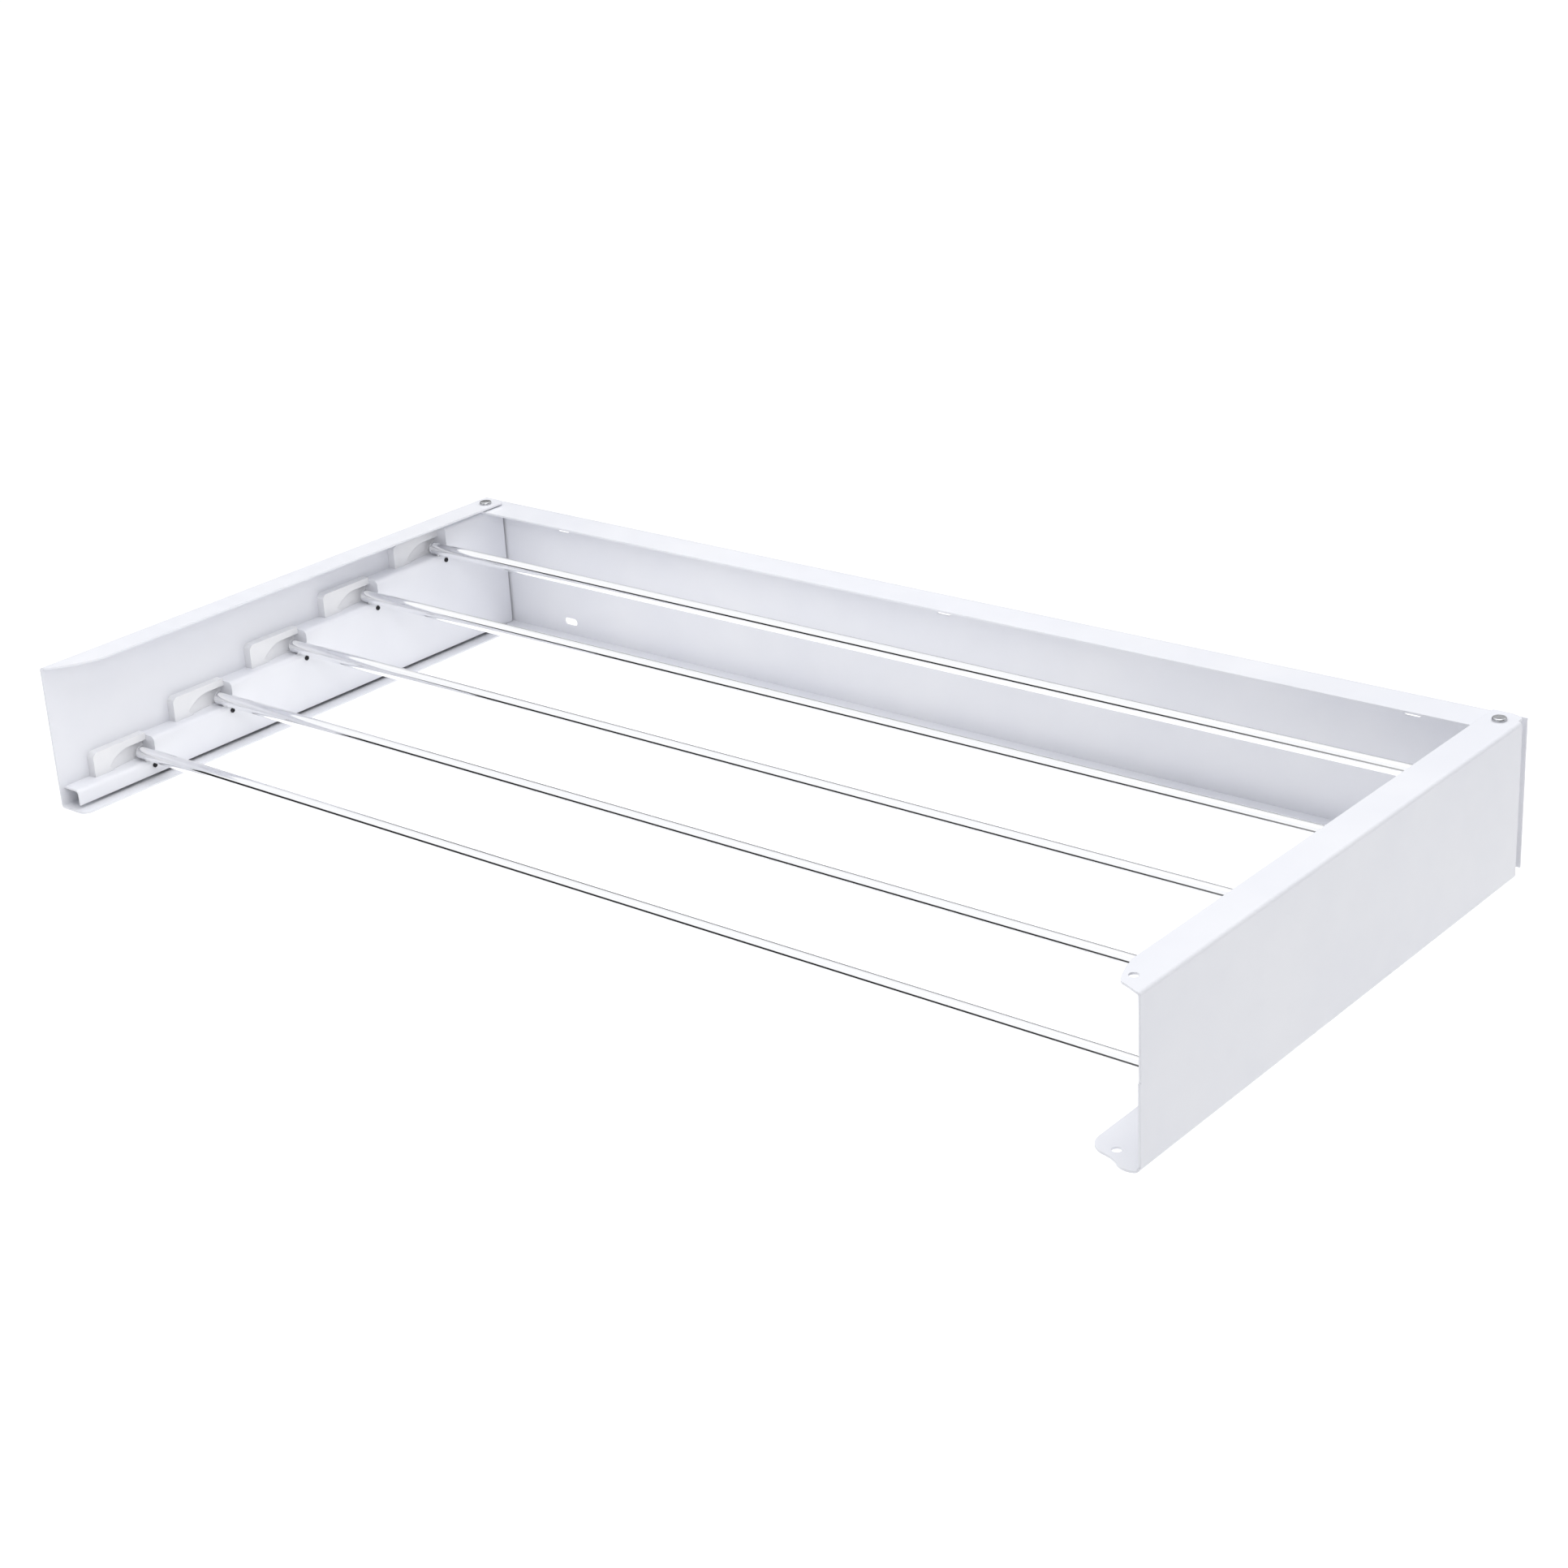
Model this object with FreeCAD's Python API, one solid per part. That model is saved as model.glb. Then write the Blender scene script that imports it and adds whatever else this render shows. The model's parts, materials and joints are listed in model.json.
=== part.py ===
import FreeCAD, Part
import os
from math import acos, cos, pi, sin, sqrt

# Wall rack with two side arms and five hanging rods.  The arms turn on vertical pins at the
# ends of a wall plate, the rods turn on vertical pins in both arms, and the whole linkage is a
# parallelogram that swings sideways, flat along the wall.
# Frame: +Z up, the wall is the plane Y = 0, the rack reaches towards -Y, and the origin is the
# middle of the wall plate's back face.  All lengths are in millimetres.

V = FreeCAD.Vector

# ---- overall sizes ----
WIDTH = 1000.0            # outer face of one arm to outer face of the other
DEPTH = 495.0             # wall to the front edge of the arms, unfolded
HEIGHT = 118.0            # height of the arms
SHEET = 1.5               # steel sheet of the arms and the wall plate
BEND = 3.0                # outside radius of the sheet's bends

# ---- hinges ----
HINGE_INSET = 15.0        # outer face of an arm to its hinge axis
HINGE_PIN = 6.0           # diameter of a hinge pin
HINGE_HEAD = 10.5         # diameter of its head
HINGE_HEAD_HEIGHT = 2.2
HINGE_HEAD_ROUND = 1.3
PIN_PLAY = 0.1            # radial play of a pin in the piece that turns on it
WASHER = 13.0             # outside diameter of a hinge washer
WASHER_THICKNESS = 0.8
WASHER_PLAY = 0.1         # gap above and below a washer
RIGHT_TAIL = 4.5          # right arm's side sheet, past the hinge axis towards the wall
SWEEP_GAP = 1.84          # right arm's tail to the wall plate's back sheet as it turns
LEFT_GAP = 3.5            # left arm's side sheet and stepped panel to the wall
FLANGE_TAIL = 14.0        # radius of the left arm's flanges behind the hinge axis

# ---- wall plate ----
PLATE_GAP = 1.5           # side sheet of an arm to the end of the wall plate
FOLD_GAP = 0.7            # folded left arm to the wall plate's top flange
BOTTOM_FLANGE = 27.0      # depth of the wall plate's bottom flange
SLOT_LENGTH = 15.0        # wall screw slots
SLOT_WIDTH = 6.5
SLOT_SPACING = 820.0      # outer slots, centre to centre
SLOT_ROWS = 86.0          # upper row to lower row of slots

# ---- arms ----
LEFT_TOP_FLANGE = 26.0    # flange widths, from the arm's outer face
LEFT_BOTTOM_FLANGE = 29.0
RIGHT_TOP_FLANGE = 27.5
RIGHT_BOTTOM_FLANGE = 43.0
TAPER = 72.0              # front stretch in which the left top flange narrows
TIP = 5.0                 # its width at the front edge
TAPER_MIDDLE = (21.4, 26.0)   # point on its curve: from the outer face, and behind the front
CORNER = 8.0              # radius of the left bottom flange's front corner
LUG_HOLE = 6.5            # accessory holes at the front of the right arm
TOP_HOLE_INSET = 15.3     # from the arm's outer face
TOP_HOLE_SETBACK = 18.0   # from the front edge
BOTTOM_HOLE_INSET = 25.0
BOTTOM_HOLE_SETBACK = 13.0
LUG_BULGE = 3.5           # right bottom lug, past the front edge of the side sheet
TOP_EDGE = 1.0            # right top flange at the fold, behind the front edge
# points round the right arm's front lugs: distance from its outer face, distance behind the front
TOP_LUG = ((27.5, 58.0), (25.0, 25.0), (19.5, 10.5), (17.5, 7.6), (14.0, 6.0))
BOTTOM_LUG = ((43.0, 20.0), (39.5, 11.0), (31.0, 5.5), (23.0, 3.5), (16.0, -1.0))
HEEL = 1.0                # bottom lug's last arc ends this far in from the outer face

# ---- rods ----
RODS = 5
ROD = 10.5                # outside diameter
ROD_WALL = 1.2
FIRST_ROD = 63.0          # hinge axis to the axis of rod 1, along the arm
ROD_PITCH = 84.5          # rod to rod, along the arm
ROD_DROP = 18.0           # each rod below the one behind it
ROD_LIFT = 0.75           # rod above the ledge that it crosses
TUBE_END = 4.2            # end of the tube, past its pivot axis
CAP = 1.05                # plug's cap past the tube's end
CAP_ROUND = 0.9
PLUG_LENGTH = 16.0        # plug inside the tube, from the tube's end
PLUG_FIT = 0.05           # radial gap between the plug and the tube
PIVOT_PIN = 4.0
PIVOT_HEAD = 7.0          # head of a right pivot pin
PIVOT_HEAD_HEIGHT = 1.2
PIVOT_GAP = 0.3           # rod to the fork's cheeks, and left pin to the end of its hole
PIN_RISE = 2.8            # left pivot pin, past the rod's axis

# ---- stepped panel in the left arm ----
PANEL = 1.2               # its sheet
PANEL_PIN_GAP = 0.8       # pivot pin to the panel's wall
FIRST_LEDGE = 29.0        # top of the arm to the ledge under rod 1
LEDGE_RADIUS = 4.0        # outside radius of a ledge's edge
RISER_GAP = 0.28          # rod's end to the riser behind it as it turns
PANEL_GAP = 0.5           # panel to the wall plate's flanges
PANEL_SETBACK = 4.0       # front edge of the arm to the panel's front end

# ---- pocket blocks, pivot bosses and screws ----
BLOCK_ROD_GAP = 0.75      # folded rod to the face of a pocket block
BLOCK_LENGTH = 53.0
BLOCK_HEIGHT = 20.0
BLOCK_CORNER = 5.0
POCKET_LENGTH = 38.0
POCKET_HEIGHT = 14.0
POCKET_DEPTH = 5.0        # at its rear end
POCKET_EDGE = 1.0         # at its front end
POCKET_LIP = 4.0          # slanted front corner of the pocket's floor
POCKET_CURVE = ((9.0, 3.0), (22.0, 0.0))   # points on its edge: behind its front, below its top
BOSS_LENGTH = 14.0
BOSS_HEIGHT = 10.0
PIN_EMBED = 8.0           # pin in its boss
SCREW = 2.5
SCREW_HEAD = 4.0
SCREW_HEAD_HEIGHT = 1.4
SCREW_HEAD_ROUND = 0.8
SCREW_RECESS = (2.0, 0.5)  # length and width of each slot of the cross
SCREW_LENGTH = 7.0        # screw behind the panel's inner face
SCREW_SETBACK = 5.0       # rod axis to the screw, towards the wall
SCREW_DROP = 5.0          # ledge to the screw's axis

# ---- forks in the right arm ----
FORK = 2.0                # thickness of the fork's cheeks and base
FORK_RADIUS = 6.0         # round end of a cheek

# ---- values worked out from the sizes above ----
ROD_RADIUS = ROD / 2
CAP_CORNER = (TUBE_END + CAP - CAP_ROUND, ROD_RADIUS - CAP_ROUND)   # middle of its rounding
ROD_SWEEP = sqrt(CAP_CORNER[0]**2 + CAP_CORNER[1]**2) + CAP_ROUND   # rod's end about its pivot
RIGHT_SWEEP = sqrt(HINGE_INSET**2 + RIGHT_TAIL**2)         # reach of the right arm's tail
HINGE_SETBACK = RIGHT_SWEEP + SHEET + SWEEP_GAP            # wall to the hinge axes
HINGE_LEVEL = SHEET + 2 * WASHER_PLAY + WASHER_THICKNESS   # wall plate above the arm's bottom
PANEL_WIDTH = HINGE_INSET + PIVOT_PIN / 2 + PANEL_PIN_GAP + PANEL
TOP_FLANGE = HINGE_SETBACK + HINGE_INSET - SHEET - FOLD_GAP
BLOCK_FACE = HINGE_INSET - ROD_RADIUS - BLOCK_ROD_GAP
LUG = HINGE_INSET - SHEET - PLATE_GAP                      # wall plate's round ends
MID = HEIGHT / 2
ARC = 1 - sqrt(0.5)       # middle of a quarter round, in from its corner, in radii


def ledge(i):
    """Height of the ledge under rod i; ledge 0, behind rod 1, comes up to the wall plate."""
    if i == 0:
        return HEIGHT - HINGE_LEVEL - SHEET - PANEL_GAP
    return HEIGHT - FIRST_LEDGE - (i - 1) * ROD_DROP


def rod_height(i):
    return ledge(i) + ROD_LIFT + ROD_RADIUS


def rod_reach(i):
    """Wall to the axis of rod i."""
    return HINGE_SETBACK + FIRST_ROD + (i - 1) * ROD_PITCH


class Side:
    """Places of one arm: u runs inwards from its outer face, s out from the wall and h up from
    the bottom of the arm."""

    def __init__(self, sign):
        self.sign = sign

    def at(self, u, s, h=0.0):
        return V(self.sign * (WIDTH / 2 - u), -s, h - MID)

    def box(self, u0, u1, s0, s1, h0, h1):
        a, b = self.at(u0, s0, h0), self.at(u1, s1, h1)
        low = V(min(a.x, b.x), min(a.y, b.y), min(a.z, b.z))
        return Part.makeBox(abs(a.x - b.x), abs(a.y - b.y), abs(a.z - b.z), low)

    def face(self, start, steps, place):
        """Face bounded by lines and arcs; a step is its end point, or an arc's middle and end."""
        edges, here = [], start
        for step in steps + [start]:
            if len(step) == 2 and isinstance(step[0], tuple):
                edges.append(Part.Arc(place(*here), place(*step[0]), place(*step[1])).toShape())
                here = step[1]
            elif step != here:
                edges.append(Part.LineSegment(place(*here), place(*step)).toShape())
                here = step
        return Part.Face(Part.Wire(edges))

    def plan(self, start, steps, h0, h1):
        """Upright prism from an outline in u and s."""
        face = self.face(start, steps, lambda u, s: self.at(u, s, h0))
        return face.extrude(V(0, 0, h1 - h0))

    def section(self, start, steps, s0, s1):
        """Prism along the arm from an outline in u and h."""
        face = self.face(start, steps, lambda u, h: self.at(u, s0, h))
        return face.extrude(V(0, s0 - s1, 0))

    def elevation(self, start, steps, u0, u1):
        """Prism across the arm from an outline in s and h."""
        face = self.face(start, steps, lambda s, h: self.at(u0, s, h))
        return face.extrude(V(self.sign * (u0 - u1), 0, 0))

    def post(self, u, s, h0, h1, diameter):
        return Part.makeCylinder(diameter / 2, h1 - h0, self.at(u, s, h0))


LEFT, RIGHT = Side(-1), Side(1)
SIDES = (LEFT, RIGHT)


def on_circle(radius, degrees):
    """Point at this angle round the hinge axis, as u and s; 0 is outwards and 90 the wall."""
    angle = degrees * pi / 180
    return (HINGE_INSET - radius * cos(angle), HINGE_SETBACK - radius * sin(angle))


def union(shapes):
    whole = shapes[0].fuse(shapes[1:])
    return whole.removeSplitter()


# ---- wall plate and hinges ----

def plate_flange(h0, depth):
    """Flange ahead of the back sheet, with a round lug at each hinge; behind the right lug it is
    cut back, clear of the right arm's tail."""
    end = SHEET + PLATE_GAP
    right_end = HINGE_INSET + RIGHT_TAIL + PLATE_GAP
    h1 = h0 + SHEET
    shapes = [
        LEFT.box(HINGE_INSET, WIDTH - right_end, SHEET, depth, h0, h1),
        LEFT.box(end, HINGE_INSET, SHEET, HINGE_SETBACK, h0, h1),
    ]
    for side in SIDES:
        shapes.append(side.post(HINGE_INSET, HINGE_SETBACK, h0, h1, 2 * LUG))
    return union(shapes).cut([side.post(HINGE_INSET, HINGE_SETBACK, h0, h1, HINGE_PIN) for side in SIDES])


def slot(x, h):
    """Round-ended slot through the back sheet, along X."""
    r = SLOT_WIDTH / 2
    half = SLOT_LENGTH / 2 - r
    ends = [Part.makeCylinder(r, 3 * SHEET, V(x + d, SHEET / 2, h), V(0, -1, 0)) for d in (-half, half)]
    bar = Part.makeBox(2 * half, 3 * SHEET, SLOT_WIDTH, V(x - half, SHEET / 2 - 3 * SHEET, h - r))
    return union([bar] + ends)


def plate_back():
    """Back sheet of the wall plate, with four corner slots and one in the middle of the top row."""
    end = SHEET + PLATE_GAP
    back = LEFT.box(end, WIDTH - end, 0, SHEET, HINGE_LEVEL, HEIGHT - HINGE_LEVEL)
    cuts = [slot(0, SLOT_ROWS / 2)]
    for x in (-SLOT_SPACING / 2, SLOT_SPACING / 2):
        cuts += [slot(x, -SLOT_ROWS / 2), slot(x, SLOT_ROWS / 2)]
    return back.cut(cuts)


def hinge_pins():
    """Headed pins, riveted flush inside the wall plate's flange: two to each hinge."""
    pins = []
    bottom = -WASHER_PLAY - HINGE_HEAD_HEIGHT
    for side in SIDES:
        shank = side.post(HINGE_INSET, HINGE_SETBACK, -WASHER_PLAY, HINGE_LEVEL + SHEET, HINGE_PIN)
        head = side.post(HINGE_INSET, HINGE_SETBACK, bottom, -WASHER_PLAY, HINGE_HEAD)
        rim = [edge for edge in head.Edges
               if edge.BoundBox.ZMax < bottom + HINGE_HEAD_HEIGHT / 2 - MID and edge.BoundBox.XLength > 1]
        head = head.makeFillet(HINGE_HEAD_ROUND, rim)
        lower = union([shank, head])
        pins += [lower, lower.mirror(V(0, 0, 0), V(0, 0, 1))]
    return Part.makeCompound(pins)


def hinge_washers():
    rings = []
    for side in SIDES:
        h = SHEET + WASHER_PLAY
        ring = side.post(HINGE_INSET, HINGE_SETBACK, h, h + WASHER_THICKNESS, WASHER)
        ring = ring.cut(side.post(HINGE_INSET, HINGE_SETBACK, h - 1, h + 2, HINGE_PIN + PIN_PLAY))
        rings += [ring, ring.mirror(V(0, 0, 0), V(0, 0, 1))]
    return Part.makeCompound(rings)


# ---- arms ----

def channel(side, top, bottom, s0, s1):
    """Bent sheet: an upright side with a flange inwards at the top and the bottom."""
    out = BEND * ARC
    inn = SHEET + (BEND - SHEET) * ARC
    steps = [
        (BEND, HEIGHT), ((out, HEIGHT - out), (0, HEIGHT - BEND)),
        (0, BEND), ((out, out), (BEND, 0)),
        (bottom, 0), (bottom, SHEET), (BEND, SHEET), ((inn, inn), (SHEET, BEND)),
        (SHEET, HEIGHT - BEND), ((inn, HEIGHT - inn), (BEND, HEIGHT - SHEET)),
        (top, HEIGHT - SHEET),
    ]
    return side.section((top, HEIGHT), steps, s0, s1)


def trim(side, sheet, lower, upper):
    """Keep what lies inside the lower outline below mid height and the upper outline above it."""
    keep = [side.plan(*lower, -1, MID), side.plan(*upper, MID, HEIGHT + 1)]
    return sheet.common(keep[0]).fuse(sheet.common(keep[1])).removeSplitter()


def drill_hinge(side, arm):
    return arm.cut(side.post(HINGE_INSET, HINGE_SETBACK, -5, HEIGHT + 5, HINGE_PIN + 2 * PIN_PLAY))


def left_rear(width):
    """Steps of a left flange's outline, from the side sheet round the hinge to the inner edge."""
    across = min(width - HINGE_INSET, FLANGE_TAIL)
    end_angle = 180 - acos(across / FLANGE_TAIL) * 180 / pi
    return (-1, LEFT_GAP), [
        (SHEET, LEFT_GAP), (SHEET, HINGE_SETBACK - FLANGE_TAIL),
        on_circle(FLANGE_TAIL, 90),
        (on_circle(FLANGE_TAIL, (90 + end_angle) / 2), on_circle(FLANGE_TAIL, end_angle)),
    ]


def left_arm_shell():
    start, upper = left_rear(LEFT_TOP_FLANGE)
    middle, setback = TAPER_MIDDLE
    upper += [
        (LEFT_TOP_FLANGE, DEPTH - TAPER), ((middle, DEPTH - setback), (TIP, DEPTH)), (-1, DEPTH),
    ]
    start, lower = left_rear(LEFT_BOTTOM_FLANGE)
    inner = LEFT_BOTTOM_FLANGE - CORNER
    k = CORNER * ARC
    lower += [
        (LEFT_BOTTOM_FLANGE, DEPTH - CORNER), ((LEFT_BOTTOM_FLANGE - k, DEPTH - k), (inner, DEPTH)),
        (-1, DEPTH),
    ]
    sheet = channel(LEFT, LEFT_TOP_FLANGE, LEFT_BOTTOM_FLANGE, LEFT_GAP, DEPTH)
    return drill_hinge(LEFT, trim(LEFT, sheet, (start, lower), (start, upper)))


def right_rear(width):
    """Steps of a right flange's outline: its tail stays inside the circle that clears the wall."""
    angle = acos((HINGE_INSET - BEND) / RIGHT_SWEEP) * 180 / pi
    return (-1, HINGE_SETBACK - RIGHT_TAIL), [
        (BEND, HINGE_SETBACK - RIGHT_TAIL), on_circle(RIGHT_SWEEP, angle),
        (on_circle(RIGHT_SWEEP, (angle + 90) / 2), on_circle(RIGHT_SWEEP, 90)),
        (width, HINGE_SETBACK - RIGHT_SWEEP),
    ]


def right_arm_shell():
    start, upper = right_rear(RIGHT_TOP_FLANGE)
    a, b, c, d, e = [(u, DEPTH - setback) for u, setback in TOP_LUG]
    upper += [a, (b, c), (d, e), (BEND, DEPTH - TOP_EDGE), (-1, DEPTH - TOP_EDGE)]
    start, lower = right_rear(RIGHT_BOTTOM_FLANGE)
    a, b, c, d, e = [(u, DEPTH - setback) for u, setback in BOTTOM_LUG]
    nose = HEEL + (e[0] - HEEL) / 2
    lower += [a, (b, c), (d, e), ((nose, DEPTH + LUG_BULGE), (HEEL, e[1])), (-1, e[1])]
    rear = HINGE_SETBACK - RIGHT_SWEEP
    sheet = channel(RIGHT, RIGHT_TOP_FLANGE, RIGHT_BOTTOM_FLANGE, rear, DEPTH + LUG_BULGE)
    arm = trim(RIGHT, sheet, (start, lower), (start, upper))
    past = RIGHT.box(-1, RIGHT_BOTTOM_FLANGE, DEPTH, DEPTH + 2 * LUG_BULGE, BEND, HEIGHT + 1)
    holes = [
        RIGHT.post(TOP_HOLE_INSET, DEPTH - TOP_HOLE_SETBACK, MID, HEIGHT + 1, LUG_HOLE),
        RIGHT.post(BOTTOM_HOLE_INSET, DEPTH - BOTTOM_HOLE_SETBACK, -1, MID, LUG_HOLE),
    ]
    return drill_hinge(RIGHT, arm.cut([past] + holes))


# ---- stepped panel and what it carries ----

def riser(i):
    """Wall to the front face of the riser behind rod i; 0 and RODS + 1 are the panel's ends."""
    if i == 0:
        return LEFT_GAP
    if i > RODS:
        return DEPTH - PANEL_SETBACK
    return rod_reach(i) - ROD_SWEEP - RISER_GAP


def rounded(u0, u1, h0, h1, radius, s0, s1):
    """Bar along the left arm with its upper inner edge rounded."""
    k = radius * ARC
    steps = [(u1, h0), (u1, h1 - radius), ((u1 - k, h1 - k), (u1 - radius, h1)), (u0, h1)]
    return LEFT.section((u0, h0), steps, s0, s1)


def panel_floor():
    return HINGE_LEVEL + SHEET + PANEL_GAP


def hollow(i, s0, s1, h0):
    """Space behind the panel under ledge i."""
    inside = PANEL_WIDTH - PANEL
    return rounded(SHEET, inside, h0, ledge(i) - PANEL, LEDGE_RADIUS - PANEL, s0, s1)


def screw_place(i):
    return LEFT.at(PANEL_WIDTH, rod_reach(i) - SCREW_SETBACK, ledge(i) - SCREW_DROP)


def step_panel():
    bars, spaces = [], []
    for i in range(RODS + 1):
        s0, s1 = riser(i), riser(i + 1)
        bars.append(rounded(SHEET, PANEL_WIDTH, panel_floor(), ledge(i), LEDGE_RADIUS, s0, s1))
        back = s0 - 1 if i == 0 else s0 - PANEL
        front = s1 + 1 if i == RODS else s1 - PANEL
        spaces.append(hollow(i, back, front, 0))
    panel = union(bars).cut(union(spaces))
    holes = []
    for i in range(1, RODS + 1):
        top = ledge(i)
        holes.append(LEFT.post(HINGE_INSET, rod_reach(i), top - 3, top + 1, PIVOT_PIN))
        place = screw_place(i)
        holes.append(Part.makeCylinder(SCREW / 2, 2 * PANEL, place + V(PANEL / 2, 0, 0), V(-1, 0, 0)))
    return panel.cut(holes)


def pivot_boss(i):
    """Block under ledge i that holds the rod's pin; the screw ties it to the panel's wall."""
    top = ledge(i) - PANEL
    reach = rod_reach(i)
    boss = hollow(i, reach - BOSS_LENGTH / 2, reach + BOSS_LENGTH / 2, top - BOSS_HEIGHT)
    place = screw_place(i)
    holes = [
        LEFT.post(HINGE_INSET, reach, top - PIN_EMBED, top + 1, PIVOT_PIN),
        Part.makeCylinder(SCREW / 2, SCREW_LENGTH, place, V(-1, 0, 0)),
    ]
    return boss.cut(holes)


def panel_screws():
    """Pan-head screws with a cross recess."""
    screws = []
    long, wide = SCREW_RECESS
    for i in range(1, RODS + 1):
        place = screw_place(i)
        head = Part.makeCylinder(SCREW_HEAD / 2, SCREW_HEAD_HEIGHT, place, V(1, 0, 0))
        rim = [edge for edge in head.Edges
               if edge.BoundBox.XMin > place.x + SCREW_HEAD_HEIGHT / 2 and edge.BoundBox.YLength > 1]
        shank = Part.makeCylinder(SCREW / 2, SCREW_LENGTH, place, V(-1, 0, 0))
        recess = []
        for y, z in ((long, wide), (wide, long)):
            low = place + V(SCREW_HEAD_HEIGHT / 2, -y / 2, -z / 2)
            recess.append(Part.makeBox(SCREW_HEAD_HEIGHT, y, z, low))
        screws.append(union([head.makeFillet(SCREW_HEAD_ROUND, rim), shank]).cut(recess))
    return Part.makeCompound(screws)


def pocket_block(i):
    """Block on the side sheet ahead of rod i, with a scooped pocket that opens towards the rod."""
    s0, h0 = riser(i), ledge(i)
    s1, h1 = s0 + BLOCK_LENGTH, h0 + BLOCK_HEIGHT
    k = BLOCK_CORNER * ARC
    steps = [(s1, h0), (s1, h1 - BLOCK_CORNER), ((s1 - k, h1 - k), (s1 - BLOCK_CORNER, h1)), (s0, h1)]
    block = LEFT.elevation((s0, h0), steps, SHEET, BLOCK_FACE)

    far, top = s0 + POCKET_LENGTH, h0 + POCKET_HEIGHT
    bend, crown = [(far - back, top - down) for back, down in POCKET_CURVE]
    steps = [(far - POCKET_LIP, h0), (far, h0 + POCKET_LIP), (bend, crown), (s0 - 1, top)]
    side_view = LEFT.elevation((s0 - 1, h0), steps, SHEET, BLOCK_FACE + 1)

    deep, edge = BLOCK_FACE - POCKET_DEPTH, BLOCK_FACE - POCKET_EDGE
    middle = (deep + POCKET_EDGE, s0 + POCKET_LENGTH / 2)
    steps = [
        (BLOCK_FACE + 1, far + 1), (edge, far + 1), (edge, far), (middle, (deep, s0)), (deep, s0 - 1),
    ]
    plan = LEFT.plan((BLOCK_FACE + 1, s0 - 1), steps, h0 - 1, top + 1)
    return block.cut(side_view.common(plan))


def left_pivot_pins():
    """Headless pins, from the bosses up into the rods."""
    pins = []
    for i in range(1, RODS + 1):
        foot = ledge(i) - PANEL - PIN_EMBED
        pins.append(LEFT.post(HINGE_INSET, rod_reach(i), foot, rod_height(i) + PIN_RISE, PIVOT_PIN))
    return Part.makeCompound(pins)


# ---- forks of the right arm ----

def cheek_gap():
    """Rod axis to the inner face of a fork's cheek."""
    return ROD_RADIUS + PIVOT_GAP


def rod_fork(i):
    """Fork on the right side sheet, open inwards and towards the wall, so that the rod can turn."""
    reach, h = rod_reach(i), rod_height(i)
    outside = cheek_gap() + FORK
    s0, s1 = reach - FORK_RADIUS, reach + FORK_RADIUS
    pieces = [RIGHT.box(SHEET, SHEET + FORK, s0, s1, h - outside, h + outside)]
    for h0 in (h - outside, h + cheek_gap()):
        pieces.append(RIGHT.box(SHEET, HINGE_INSET, s0, s1, h0, h0 + FORK))
        pieces.append(RIGHT.post(HINGE_INSET, reach, h0, h0 + FORK, 2 * FORK_RADIUS))
    return union(pieces).cut(RIGHT.post(HINGE_INSET, reach, h - 2 * outside, h + 2 * outside, PIVOT_PIN))


def right_pivot_pins():
    pins = []
    for i in range(1, RODS + 1):
        reach, h = rod_reach(i), rod_height(i)
        outside = cheek_gap() + FORK
        shank = RIGHT.post(HINGE_INSET, reach, h - outside, h + outside, PIVOT_PIN)
        head = RIGHT.post(HINGE_INSET, reach, h + outside, h + outside + PIVOT_HEAD_HEIGHT, PIVOT_HEAD)
        pins.append(union([shank, head]))
    return Part.makeCompound(pins)


# ---- rods ----

def along_x(i, x0, x1, diameter):
    """Round bar on the axis of rod i."""
    base = V(x0, -rod_reach(i), rod_height(i) - MID)
    return Part.makeCylinder(diameter / 2, x1 - x0, base, V(1, 0, 0))


def pin_holes(i):
    """The left pin's hole ends inside the rod; the right pin's goes right through."""
    h, bore = rod_height(i), PIVOT_PIN + 2 * PIN_PLAY
    return [
        LEFT.post(HINGE_INSET, rod_reach(i), h - ROD, h + PIN_RISE + PIVOT_GAP, bore),
        RIGHT.post(HINGE_INSET, rod_reach(i), h - ROD, h + ROD, bore),
    ]


def rod_tube(i):
    end = WIDTH / 2 - HINGE_INSET + TUBE_END
    tube = along_x(i, -end, end, ROD)
    bore = along_x(i, -end - 1, end + 1, ROD - 2 * ROD_WALL)
    return tube.cut([bore] + pin_holes(i))


def rod_plugs(i):
    """Plastic plugs in the tube's ends; their round caps turn inside the pivot's clearance."""
    end = WIDTH / 2 - HINGE_INSET + TUBE_END
    stem = along_x(i, end - PLUG_LENGTH, end, ROD - 2 * ROD_WALL - 2 * PLUG_FIT)
    head = along_x(i, end, end + CAP, ROD)
    rim = [edge for edge in head.Edges
           if edge.BoundBox.XMin > end + CAP / 2 and edge.BoundBox.YLength > 1]
    plug = union([stem, head.makeFillet(CAP_ROUND, rim)])
    plugs = [plug, plug.mirror(V(0, 0, 0), V(1, 0, 0))]
    return Part.makeCompound([one.cut(pin_holes(i)) for one in plugs])


def build():
    nodes = {
        "plate_back": plate_back(),
        "plate_top_flange": plate_flange(HEIGHT - HINGE_LEVEL - SHEET, TOP_FLANGE),
        "plate_bottom_flange": plate_flange(HINGE_LEVEL, BOTTOM_FLANGE),
        "hinge_pins": hinge_pins(),
        "hinge_washers": hinge_washers(),
        "left_arm_shell": left_arm_shell(),
        "step_panel": step_panel(),
        "panel_screws": panel_screws(),
        "left_pivot_pins": left_pivot_pins(),
        "right_arm_shell": right_arm_shell(),
        "right_pivot_pins": right_pivot_pins(),
    }
    for i in range(1, RODS + 1):
        nodes["pocket_block_%d" % i] = pocket_block(i)
        nodes["pivot_boss_%d" % i] = pivot_boss(i)
        nodes["rod_fork_%d" % i] = rod_fork(i)
        nodes["rod_%d" % i] = rod_tube(i)
        nodes["rod_plugs_%d" % i] = rod_plugs(i)
    return nodes


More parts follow.
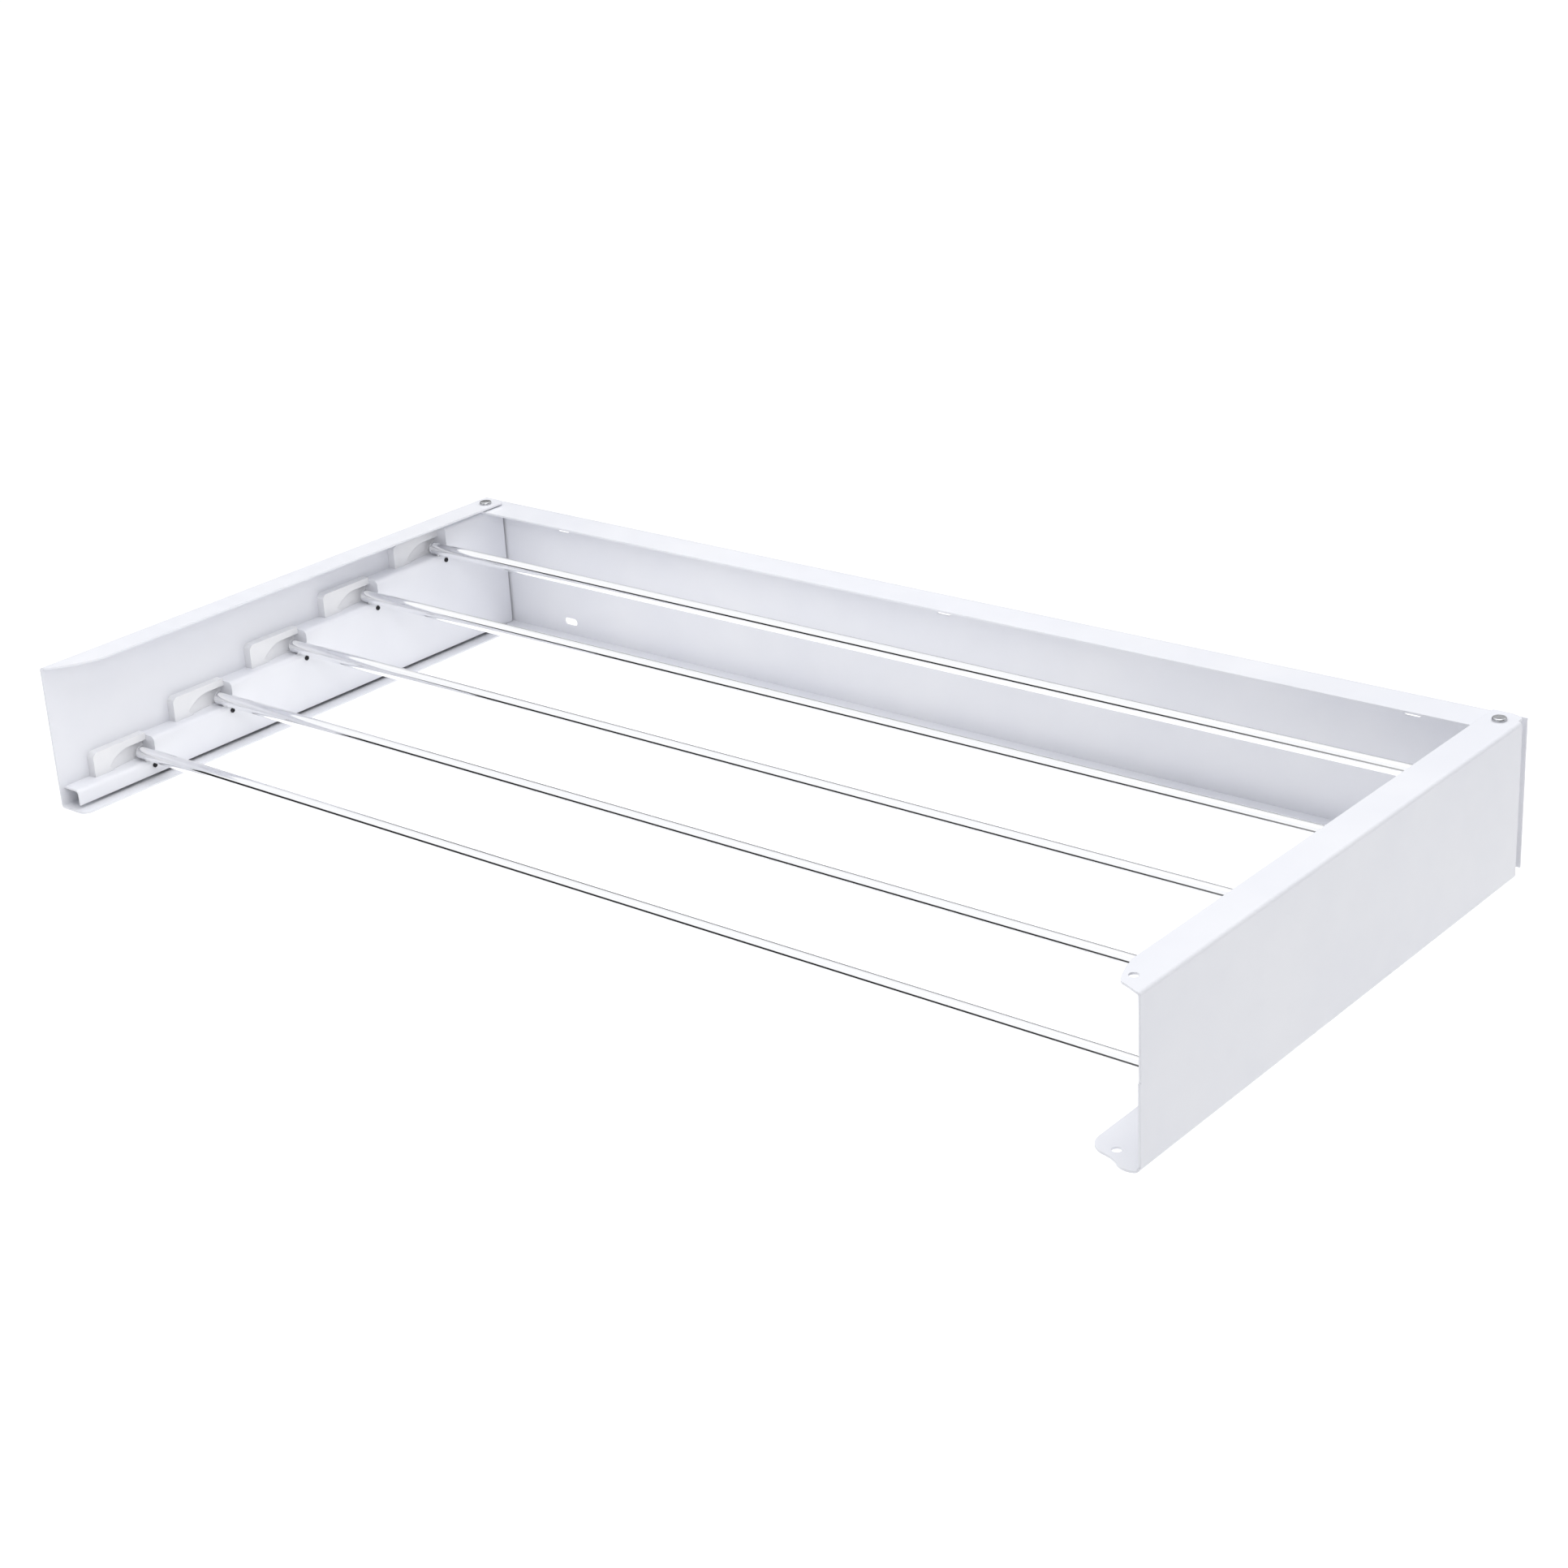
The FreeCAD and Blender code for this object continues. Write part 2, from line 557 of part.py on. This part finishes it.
os.makedirs("parts", exist_ok=True)
for name, shape in build().items():
    assert shape.isValid(), name
    shape.exportStep("parts/%s.step" % name)
    print(name, len(shape.Solids), round(shape.Volume, 1))
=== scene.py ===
import json
import math

import bpy
from mathutils import Matrix, Vector

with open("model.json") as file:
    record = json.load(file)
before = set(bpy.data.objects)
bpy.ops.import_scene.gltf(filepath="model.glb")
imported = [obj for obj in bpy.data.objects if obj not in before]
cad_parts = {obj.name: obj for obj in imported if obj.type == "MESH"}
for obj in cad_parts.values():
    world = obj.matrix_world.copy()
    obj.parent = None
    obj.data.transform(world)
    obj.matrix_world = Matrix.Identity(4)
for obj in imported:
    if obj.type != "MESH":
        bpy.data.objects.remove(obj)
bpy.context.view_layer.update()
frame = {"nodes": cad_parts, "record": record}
NODES = frame["nodes"]


# ---- camera ----

CAMERA_AT = (1.3213, -1.7634, 0.8398)
PITCH, YAW, ROLL = -0.4029, -0.7040, -0.0582
FOCAL_PIXELS, IMAGE_PIXELS, SENSOR = 3647.6, 1932.0, 36.0
CLIP_END = 500            # far enough for the floor's edge


def make_camera():
    """Camera that looks along yaw and pitch, rolled about its own axis."""
    forward = Vector((math.sin(YAW) * math.cos(PITCH), math.cos(YAW) * math.cos(PITCH), math.sin(PITCH)))
    level = Vector((math.cos(YAW), -math.sin(YAW), 0.0))
    upright = level.cross(forward)
    right = math.cos(ROLL) * level + math.sin(ROLL) * upright
    up = right.cross(forward)
    turn = Matrix((right, up, -forward)).transposed()
    data = bpy.data.cameras.new("camera")
    data.sensor_width = SENSOR
    data.lens = FOCAL_PIXELS / IMAGE_PIXELS * SENSOR
    data.clip_end = CLIP_END
    camera = bpy.data.objects.new("camera", data)
    camera.matrix_world = Matrix.Translation(CAMERA_AT) @ turn.to_4x4()
    bpy.context.scene.collection.objects.link(camera)
    bpy.context.scene.camera = camera


# ---- materials ----

NOISE_RANGE = (0.3, 0.7)  # where most of a noise's values lie
BEVEL_SAMPLES = 4


def new_material(name, metallic=0.0, coat=0.0, coat_roughness=0.2):
    """Principled material and its shader."""
    material = bpy.data.materials.new(name)
    material.use_nodes = True
    shader = material.node_tree.nodes["Principled BSDF"]
    shader.inputs["Metallic"].default_value = metallic
    shader.inputs["Coat Weight"].default_value = coat
    shader.inputs["Coat Roughness"].default_value = coat_roughness
    return material, shader


def place(tree, stretch):
    """Position on the piece in metres, each axis multiplied by stretch."""
    where = tree.nodes.new("ShaderNodeTexCoord")
    scale = tree.nodes.new("ShaderNodeVectorMath")
    scale.operation = "MULTIPLY"
    scale.inputs[1].default_value = stretch
    tree.links.new(where.outputs["Object"], scale.inputs[0])
    return scale.outputs[0]


def noise(tree, grain, detail=3.0, along=(1.0, 1.0, 1.0)):
    """Noise with features of about this size in metres, stretched by along."""
    node = tree.nodes.new("ShaderNodeTexNoise")
    node.inputs["Scale"].default_value = 1.0
    node.inputs["Detail"].default_value = detail
    stretch = [1.0 / (grain * factor) for factor in along]
    tree.links.new(place(tree, stretch), node.inputs["Vector"])
    return node.outputs["Fac"]


def map_range(tree, value, limits, kind="LINEAR"):
    """Value carried from one range to another; limits holds both ends of the first, then of the second."""
    node = tree.nodes.new("ShaderNodeMapRange")
    node.interpolation_type = kind
    for name, number in zip(("From Min", "From Max", "To Min", "To Max"), limits):
        node.inputs[name].default_value = number
    tree.links.new(value, node.inputs["Value"])
    return node.outputs["Result"]


def spread(tree, value, low, high):
    """A noise's value, spread over low to high."""
    return map_range(tree, value, (*NOISE_RANGE, low, high))


def tint(tree, value, shader, first, second):
    """Base colour between two tints."""
    node = tree.nodes.new("ShaderNodeMix")
    node.data_type = "RGBA"
    node.inputs["A"].default_value = (*first, 1.0)
    node.inputs["B"].default_value = (*second, 1.0)
    tree.links.new(spread(tree, value, 0.0, 1.0), node.inputs["Factor"])
    tree.links.new(node.outputs["Result"], shader.inputs["Base Color"])


def gloss(tree, value, shader, low, high):
    """Roughness between low and high."""
    tree.links.new(spread(tree, value, low, high), shader.inputs["Roughness"])


def bump(tree, value, shader, depth, strength, edge=0.0):
    """Relief of this depth in metres, over edges rounded by the radius edge."""
    node = tree.nodes.new("ShaderNodeBump")
    node.inputs["Strength"].default_value = strength
    node.inputs["Distance"].default_value = depth
    tree.links.new(value, node.inputs["Height"])
    if edge:
        soft = tree.nodes.new("ShaderNodeBevel")
        soft.samples = BEVEL_SAMPLES
        soft.inputs["Radius"].default_value = edge
        tree.links.new(soft.outputs["Normal"], node.inputs["Normal"])
    tree.links.new(node.outputs["Normal"], shader.inputs["Normal"])


def powder_coat():
    """White powder coat: semi-gloss, faint orange peel, barely uneven in tint."""
    material, shader = new_material("powder_coat", coat=0.25, coat_roughness=0.18)
    tree = material.node_tree
    tint(tree, noise(tree, 0.09), shader, (0.765, 0.775, 0.825), (0.805, 0.812, 0.85))
    gloss(tree, noise(tree, 0.012), shader, 0.30, 0.42)
    bump(tree, noise(tree, 0.0016, detail=4.0), shader, depth=0.00004, strength=0.35, edge=0.0004)
    return material


def drawn_aluminium():
    """Bright rod tube with fine draw lines along it."""
    material, shader = new_material("drawn_aluminium", metallic=1.0)
    tree = material.node_tree
    lines = noise(tree, 0.0006, detail=4.0, along=(400.0, 1.0, 1.0))
    tint(tree, lines, shader, (0.87, 0.875, 0.89), (0.93, 0.93, 0.94))
    gloss(tree, lines, shader, 0.05, 0.11)
    bump(tree, lines, shader, depth=0.00001, strength=0.3)
    return material


def moulded_plastic():
    """White satin plastic with a fine spark-eroded skin."""
    material, shader = new_material("moulded_plastic")
    tree = material.node_tree
    tint(tree, noise(tree, 0.02), shader, (0.80, 0.805, 0.83), (0.84, 0.84, 0.86))
    gloss(tree, noise(tree, 0.003), shader, 0.36, 0.46)
    bump(tree, noise(tree, 0.0005, detail=2.0), shader, depth=0.00003, strength=0.3, edge=0.0005)
    return material


def washer_nylon():
    """Milky nylon, dull and faintly mottled."""
    material, shader = new_material("washer_nylon")
    tree = material.node_tree
    tint(tree, noise(tree, 0.004), shader, (0.78, 0.78, 0.76), (0.86, 0.86, 0.84))
    gloss(tree, noise(tree, 0.001), shader, 0.5, 0.62)
    bump(tree, noise(tree, 0.0004, detail=2.0), shader, depth=0.00003, strength=0.3)
    return material


def pin_steel():
    """Turned zinc-plated steel of the pins, faintly mottled."""
    material, shader = new_material("pin_steel", metallic=1.0)
    tree = material.node_tree
    tint(tree, noise(tree, 0.002), shader, (0.42, 0.43, 0.45), (0.62, 0.62, 0.63))
    gloss(tree, noise(tree, 0.0008), shader, 0.24, 0.38)
    bump(tree, noise(tree, 0.0003), shader, depth=0.00002, strength=0.4, edge=0.0002)
    return material


def black_oxide():
    """Blackened screws, dull with slightly worn high spots."""
    material, shader = new_material("black_oxide", metallic=0.7)
    tree = material.node_tree
    tint(tree, noise(tree, 0.0008, detail=4.0), shader, (0.012, 0.012, 0.014), (0.05, 0.05, 0.055))
    gloss(tree, noise(tree, 0.0005), shader, 0.35, 0.55)
    bump(tree, noise(tree, 0.0002), shader, depth=0.00002, strength=0.5, edge=0.0002)
    return material


def paint_nodes():
    """One material for every CAD node, from the record's own material slots."""
    looks = {
        "painted_steel": powder_coat(),
        "rod_metal": drawn_aluminium(),
        "white_plastic": moulded_plastic(),
        "washer_nylon": washer_nylon(),
        "pin_steel": pin_steel(),
        "screw_black": black_oxide(),
    }
    for part in frame["record"]["subparts"]:
        mesh = NODES[part["node"]].data
        mesh.materials.clear()
        mesh.materials.append(looks[part["material_slot"]])


# ---- studio ----

FLOOR_DROP = 0.6          # floor below the middle of the rack
FLOOR_SIZE = 600          # far enough out that its edge is the horizon
FLOOR_GLOW = 0.22         # keeps the floor plain white up to the horizon
SKY_TINT = (0.985, 0.99, 1.0, 1.0)
UP = (0.0, 0.0, 1.0)
LIGHT_FROM = Vector((0.08, -0.40, 0.91)).normalized()     # brightest part of the surroundings
SHADE_TOWARDS = Vector((0.80, -0.55, 0.20)).normalized()  # middle of a dim screen, front right
STRIP_TOWARDS = (-1.0, 0.0, 0.0)                          # middle of a dark strip, left
# each as two cosines and the values at them
GLOW = (-0.8, 0.6, 0.25, 1.1)
SHADE = (0.35, 0.75, 0.0, 0.92)
SHADE_TOP = (0.6, 0.85, 1.0, 0.0)
STRIP = (0.35, 0.5, 0.0, 0.98)
STRIP_TOP = (0.30, 0.40, 1.0, 0.0)


def make_floor():
    bpy.ops.mesh.primitive_plane_add(size=FLOOR_SIZE, location=(0, 0, -FLOOR_DROP))
    floor = bpy.context.object
    floor.name = "floor"
    material, shader = new_material("floor")
    shader.inputs["Base Color"].default_value = (0.96, 0.96, 0.965, 1.0)
    shader.inputs["Roughness"].default_value = 1.0
    shader.inputs["Specular IOR Level"].default_value = 0.0
    shader.inputs["Emission Color"].default_value = (1.0, 1.0, 1.0, 1.0)
    shader.inputs["Emission Strength"].default_value = FLOOR_GLOW
    floor.data.materials.append(material)


def make_light(name, at, target, size, power, fan=math.pi):
    """Area light at a place, turned to its target; its rays fan out over this angle."""
    data = bpy.data.lights.new(name, "AREA")
    data.shape = "RECTANGLE"
    data.size, data.size_y = size
    data.energy = power
    data.spread = fan
    light = bpy.data.objects.new(name, data)
    light.location = at
    light.visible_camera = False
    light.rotation_euler = (Vector(target) - Vector(at)).to_track_quat("-Z", "Y").to_euler()
    bpy.context.scene.collection.objects.link(light)


def math_node(tree, kind, *values):
    """Math node on sockets and numbers."""
    node = tree.nodes.new("ShaderNodeMath")
    node.operation = kind
    for socket, value in zip(node.inputs, values):
        if isinstance(value, (int, float)):
            socket.default_value = value
        else:
            tree.links.new(value, socket)
    return node.outputs[0]


def towards(tree, direction, axis):
    """Cosine of the angle between the direction of a ray and an axis."""
    node = tree.nodes.new("ShaderNodeVectorMath")
    node.operation = "DOT_PRODUCT"
    tree.links.new(direction, node.inputs[0])
    node.inputs[1].default_value = axis
    return node.outputs["Value"]


def make_world():
    """Soft surroundings, brightest above, with a dim screen and a dark strip low at the sides.  Both
    only shade and show in reflections: rays straight from the camera meet plain white."""
    world = bpy.data.worlds.new("world")
    bpy.context.scene.world = world
    world.use_nodes = True
    tree = world.node_tree
    direction = tree.nodes.new("ShaderNodeTexCoord").outputs["Generated"]

    def part(axis, limits):
        return map_range(tree, towards(tree, direction, axis), limits, "SMOOTHSTEP")

    shade = math_node(tree, "MULTIPLY", part(SHADE_TOWARDS, SHADE), part(UP, SHADE_TOP))
    strip = math_node(tree, "MULTIPLY", part(STRIP_TOWARDS, STRIP), part(UP, STRIP_TOP))
    open_share = math_node(tree, "SUBTRACT", 1.0, math_node(tree, "MAXIMUM", shade, strip))
    strength = math_node(tree, "MULTIPLY", part(LIGHT_FROM, GLOW), open_share)
    seen = tree.nodes.new("ShaderNodeLightPath").outputs["Is Camera Ray"]
    background = tree.nodes["Background"]
    background.inputs["Color"].default_value = SKY_TINT
    tree.links.new(math_node(tree, "MAXIMUM", strength, seen), background.inputs["Strength"])


make_camera()
paint_nodes()
make_floor()
make_light("overhead", at=(0.3, -0.1, 3.0), target=(0.0, -0.2, 0.0), size=(3.0, 3.0), power=45)
make_light("inner_fill", at=(0.25, -0.7, 0.5), target=(-0.45, -0.15, 0.0), size=(0.4, 0.4), power=0.65,
           fan=math.pi / 2)
make_world()
bpy.context.scene.view_settings.view_transform = "Standard"
